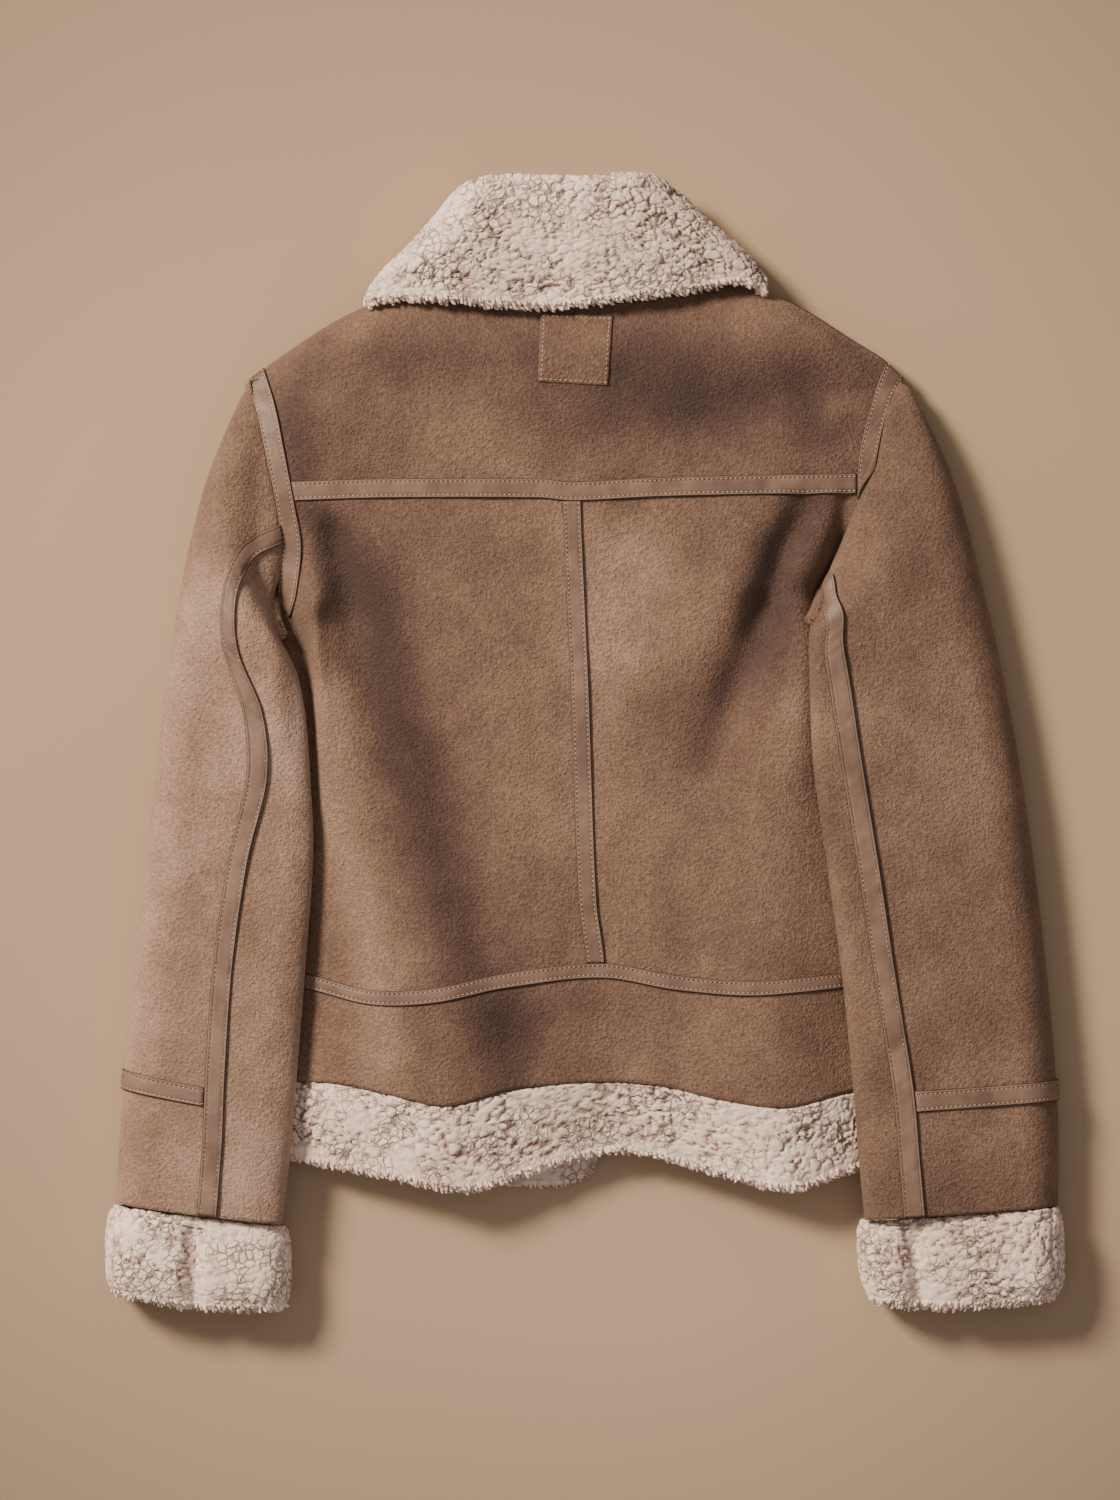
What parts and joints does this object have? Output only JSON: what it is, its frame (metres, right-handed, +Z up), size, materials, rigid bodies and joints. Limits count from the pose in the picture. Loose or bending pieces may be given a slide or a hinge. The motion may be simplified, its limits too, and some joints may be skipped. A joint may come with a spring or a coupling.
{
  "type": "faux shearling aviator jacket",
  "caption": "Cropped faux shearling aviator jacket laid flat back up, with a fleece collar, hem and turned-back cuffs, leather seam strips and a bare neck patch.",
  "frame": {"origin": "centre of the bounding box in plan, on the surface the jacket lies on", "axes": "+Z up from the surface, +Y from the hem towards the collar, +X to the right seen from above with the back up"},
  "size_m": [0.6529, 0.7737, 0.0512],
  "materials": {
    "suede": "bonded faux suede, soft pebble grain",
    "leather": "satin faux leather strip",
    "fleece": "curly sherpa pile",
    "tape": "woven zip tape",
    "metal": "aged"
  },
  "bodies": {
    "root": {"back_yoke": "suede", "back_left": "suede", "back_right": "suede", "back_waist": "suede", "front_left": "suede", "front_right": "suede", "collar_stand": "suede", "neck_patch": "suede", "sleeve_left_outer": "suede", "sleeve_left_forearm": "suede", "sleeve_left_under": "suede", "sleeve_right_outer": "suede", "sleeve_right_forearm": "suede", "sleeve_right_under": "suede", "hem_back": "fleece", "hem_front_left": "fleece", "hem_front_right": "fleece", "cuff_left": "fleece", "cuff_right": "fleece", "collar_fall": "fleece", "collar_top": "fleece", "collar_leaf_left": "fleece", "collar_leaf_right": "fleece", "yoke_strip": "leather", "centre_back_strip": "leather", "waist_strip": "leather", "armhole_strip_left": "leather", "sleeve_strip_left": "leather", "forearm_strip_left": "leather", "armhole_strip_right": "leather", "sleeve_strip_right": "leather", "forearm_strip_right": "leather", "zip_tape": "tape", "zip_chain": "metal", "zip_slider": "metal"}
  },
  "joints": []
}
